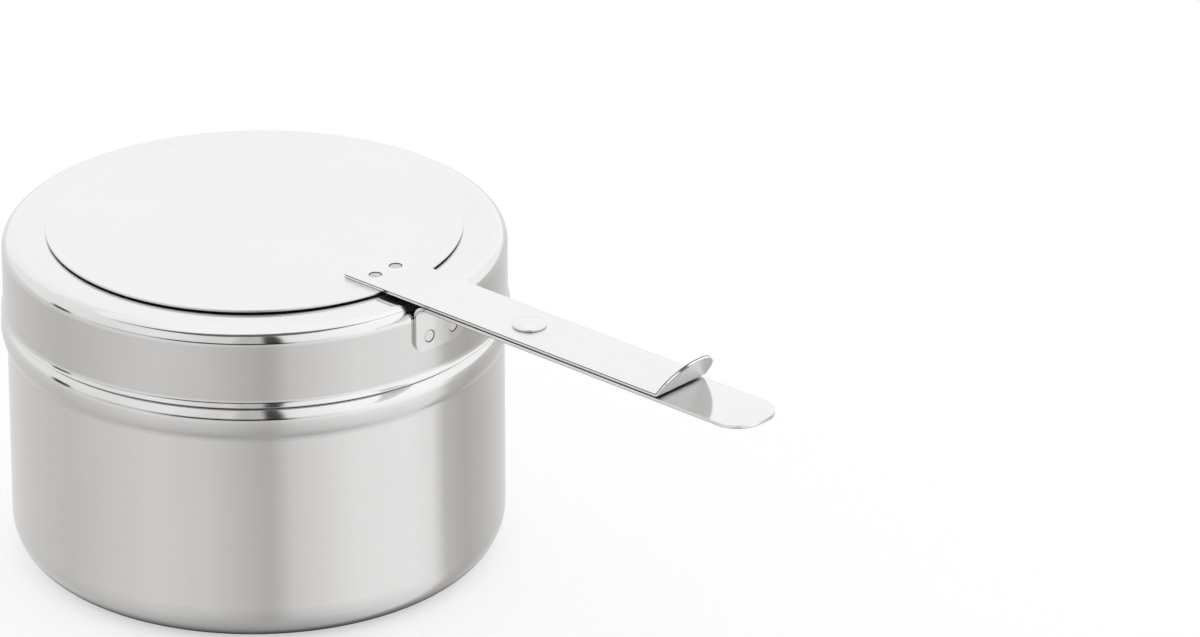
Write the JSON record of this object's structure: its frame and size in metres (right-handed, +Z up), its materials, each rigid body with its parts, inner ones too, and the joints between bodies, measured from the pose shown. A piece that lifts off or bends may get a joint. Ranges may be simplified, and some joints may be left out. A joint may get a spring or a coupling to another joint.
{
  "type": "chafing dish fuel holder",
  "caption": "Round steel fuel cup for a chafing dish, with a slip-on ring cover, a strip handle and a disc damper that swings on a rivet to open or snuff the flame hole.",
  "frame": {"origin": "centre of the cup's flat base, on the surface that it stands on", "axes": "+Z up along the cup's axis, +X from the cup's axis along the handle"},
  "size_m": [0.1643, 0.09, 0.0684],
  "materials": {
    "satin_steel": "drawn stainless steel with a soft satin sheen",
    "bright_steel": "flat cold-rolled stainless steel, bright and faintly grained",
    "rivet_steel": "headed steel rivet, bright"
  },
  "bodies": {
    "cup": {"cup": "satin_steel"},
    "cover": {"cover_ring": "satin_steel", "handle": "bright_steel", "pivot_rivet": "rivet_steel"},
    "damper": {"damper_strip": "bright_steel", "damper_disc": "bright_steel"}
  },
  "joints": [
    {"name": "cover_lift", "type": "slide", "parent": "cup", "child": "cover", "axis": [0, 0, 1], "range_m": [0, 0.08]},
    {"name": "damper_swing", "type": "hinge", "parent": "cover", "child": "damper", "pos_m": [0.0658, 0, 0.06195], "axis": [0, 0, 1], "range_deg": [-135, 135]}
  ]
}
